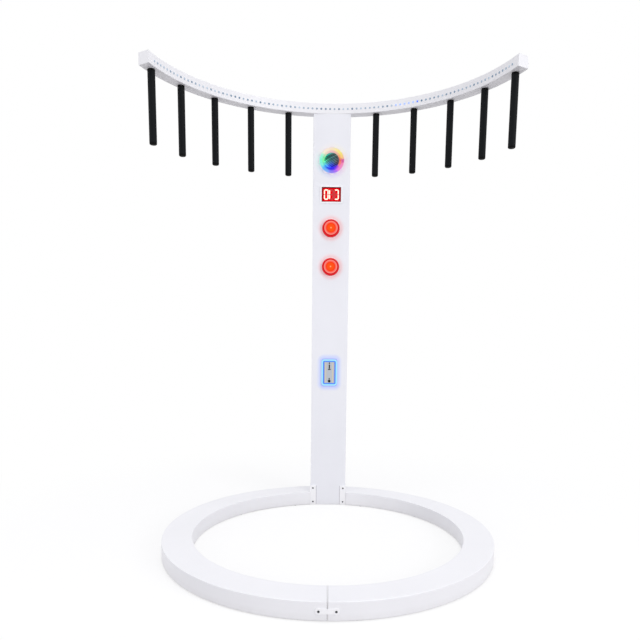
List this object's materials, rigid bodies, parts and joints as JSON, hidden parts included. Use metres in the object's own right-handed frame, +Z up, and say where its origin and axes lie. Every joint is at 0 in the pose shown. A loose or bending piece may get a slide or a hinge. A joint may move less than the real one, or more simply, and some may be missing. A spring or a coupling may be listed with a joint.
{
  "type": "reaction stick arcade game",
  "caption": "Ring base with a rear column and a curved overhead beam that drops rubber-sleeved sticks for a player to catch.",
  "frame": {"origin": "middle of the ring base, on the floor", "axes": "+Z up, +Y from the player to the column, +X to the player's right"},
  "size_m": [1.7646, 1.6109, 2.2925],
  "materials": {
    "base_half_left": "gloss white powder coat",
    "base_half_right": "gloss white powder coat",
    "base_feet": "matt",
    "base_joining_plates": "gloss white powder coat",
    "foot_brackets": "gloss white powder coat",
    "fasteners": "black oxide",
    "column_shell": "gloss white powder coat",
    "rear_panel": "gloss white powder coat",
    "inlet_panel": "gloss white powder coat",
    "service_door": "gloss white powder coat",
    "door_hinges": "satin",
    "lock_housing": "satin",
    "door_lock": "satin",
    "power_inlet": "fine texture",
    "power_rocker": "gloss",
    "control_board": "solder mask",
    "power_supply": "perforated sheet",
    "beam_channel": "gloss white powder coat",
    "beam_back_cover": "gloss white powder coat",
    "beam_end_caps": "gloss white powder coat",
    "led_pixels": "clear lens",
    "electromagnets": "satin",
    "speaker_grille": "fine texture",
    "speaker_light_ring": "frosted, lit in colours",
    "speaker_driver": "fine texture",
    "display_bezel": "gloss",
    "display_window": "red acrylic",
    "display_board": "fine texture",
    "display_lit_segments": "lit",
    "button_bases": "gloss, lit",
    "button_switches": "fine texture",
    "coin_light_frame": "frosted, lit blue",
    "coin_plate": "die-cast, satin",
    "coin_return_button": "fine texture",
    "coin_mechanism": "fine texture",
    "coin_box": "satin",
    "upper_button_dome": "clear red, lit",
    "upper_button_disc": "gloss, lit",
    "lower_button_dome": "clear red, lit",
    "lower_button_disc": "gloss, lit",
    "stick_1": "matt, firm sleeve",
    "stick_head_1": "satin",
    "stick_2": "matt, firm sleeve",
    "stick_head_2": "satin",
    "stick_3": "matt, firm sleeve",
    "stick_head_3": "satin",
    "stick_4": "matt, firm sleeve",
    "stick_head_4": "satin",
    "stick_5": "matt, firm sleeve",
    "stick_head_5": "satin",
    "stick_6": "matt, firm sleeve",
    "stick_head_6": "satin",
    "stick_7": "matt, firm sleeve",
    "stick_head_7": "satin",
    "stick_8": "matt, firm sleeve",
    "stick_head_8": "satin",
    "stick_9": "matt, firm sleeve",
    "stick_head_9": "satin",
    "stick_10": "matt, firm sleeve",
    "stick_head_10": "satin"
  },
  "bodies": {
    "frame": {"base_half_left": "base_half_left", "base_half_right": "base_half_right", "base_feet": "base_feet", "base_joining_plates": "base_joining_plates", "foot_brackets": "foot_brackets", "fasteners": "fasteners", "column_shell": "column_shell", "rear_panel": "rear_panel", "inlet_panel": "inlet_panel", "door_hinges": "door_hinges", "power_inlet": "power_inlet", "control_board": "control_board", "power_supply": "power_supply", "beam_channel": "beam_channel", "beam_back_cover": "beam_back_cover", "beam_end_caps": "beam_end_caps", "led_pixels": "led_pixels", "electromagnets": "electromagnets", "speaker_grille": "speaker_grille", "speaker_light_ring": "speaker_light_ring", "speaker_driver": "speaker_driver", "display_bezel": "display_bezel", "display_window": "display_window", "display_board": "display_board", "display_lit_segments": "display_lit_segments", "button_bases": "button_bases", "button_switches": "button_switches", "coin_light_frame": "coin_light_frame", "coin_plate": "coin_plate", "coin_mechanism": "coin_mechanism", "coin_box": "coin_box"},
    "door": {"service_door": "service_door", "lock_housing": "lock_housing"},
    "lock": {"door_lock": "door_lock"},
    "rocker": {"power_rocker": "power_rocker"},
    "upper_button": {"upper_button_dome": "upper_button_dome", "upper_button_disc": "upper_button_disc"},
    "lower_button": {"lower_button_dome": "lower_button_dome", "lower_button_disc": "lower_button_disc"},
    "coin_return": {"coin_return_button": "coin_return_button"},
    "stick_body_1": {"stick_1": "stick_1", "stick_head_1": "stick_head_1"},
    "stick_body_2": {"stick_2": "stick_2", "stick_head_2": "stick_head_2"},
    "stick_body_3": {"stick_3": "stick_3", "stick_head_3": "stick_head_3"},
    "stick_body_4": {"stick_4": "stick_4", "stick_head_4": "stick_head_4"},
    "stick_body_5": {"stick_5": "stick_5", "stick_head_5": "stick_head_5"},
    "stick_body_6": {"stick_6": "stick_6", "stick_head_6": "stick_head_6"},
    "stick_body_7": {"stick_7": "stick_7", "stick_head_7": "stick_head_7"},
    "stick_body_8": {"stick_8": "stick_8", "stick_head_8": "stick_head_8"},
    "stick_body_9": {"stick_9": "stick_9", "stick_head_9": "stick_head_9"},
    "stick_body_10": {"stick_10": "stick_10", "stick_head_10": "stick_head_10"}
  },
  "joints": [
    {"name": "stick_1_drop", "type": "slide", "parent": "frame", "child": "stick_body_1", "axis": [0, 0, -1], "range_m": [0, 1.906]},
    {"name": "stick_2_drop", "type": "slide", "parent": "frame", "child": "stick_body_2", "axis": [0, 0, -1], "range_m": [0, 1.826]},
    {"name": "stick_3_drop", "type": "slide", "parent": "frame", "child": "stick_body_3", "axis": [0, 0, -1], "range_m": [0, 1.826]},
    {"name": "stick_4_drop", "type": "slide", "parent": "frame", "child": "stick_body_4", "axis": [0, 0, -1], "range_m": [0, 1.826]},
    {"name": "stick_5_drop", "type": "slide", "parent": "frame", "child": "stick_body_5", "axis": [0, 0, -1], "range_m": [0, 1.826]},
    {"name": "stick_6_drop", "type": "slide", "parent": "frame", "child": "stick_body_6", "axis": [0, 0, -1], "range_m": [0, 1.826]},
    {"name": "stick_7_drop", "type": "slide", "parent": "frame", "child": "stick_body_7", "axis": [0, 0, -1], "range_m": [0, 1.826]},
    {"name": "stick_8_drop", "type": "slide", "parent": "frame", "child": "stick_body_8", "axis": [0, 0, -1], "range_m": [0, 1.826]},
    {"name": "stick_9_drop", "type": "slide", "parent": "frame", "child": "stick_body_9", "axis": [0, 0, -1], "range_m": [0, 1.826]},
    {"name": "stick_10_drop", "type": "slide", "parent": "frame", "child": "stick_body_10", "axis": [0, 0, -1], "range_m": [0, 1.906]},
    {"name": "upper_button_press", "type": "slide", "parent": "frame", "child": "upper_button", "axis": [0, 1, 0], "range_m": [0, 0.0045], "stiffness_N_per_m": 400, "springref_m": -0.004},
    {"name": "lower_button_press", "type": "slide", "parent": "frame", "child": "lower_button", "axis": [0, 1, 0], "range_m": [0, 0.0045], "stiffness_N_per_m": 400, "springref_m": -0.004},
    {"name": "coin_return_press", "type": "slide", "parent": "frame", "child": "coin_return", "axis": [0, 1, 0], "range_m": [0, 0.004], "stiffness_N_per_m": 300, "springref_m": -0.003},
    {"name": "door_swing", "type": "hinge", "parent": "frame", "child": "door", "pos_m": [-0.08985, 0.80275, 0.6], "axis": [0, 0, 1], "range_deg": [0, 110]},
    {"name": "lock_turn", "type": "hinge", "parent": "door", "child": "lock", "pos_m": [0.055, 0.8, 0.6], "axis": [0, 1, 0], "range_deg": [0, 90]},
    {"name": "power_rocker_tilt", "type": "hinge", "parent": "frame", "child": "rocker", "pos_m": [0, 0.8, 0.105], "axis": [1, 0, 0], "range_deg": [-18, 0]}
  ]
}
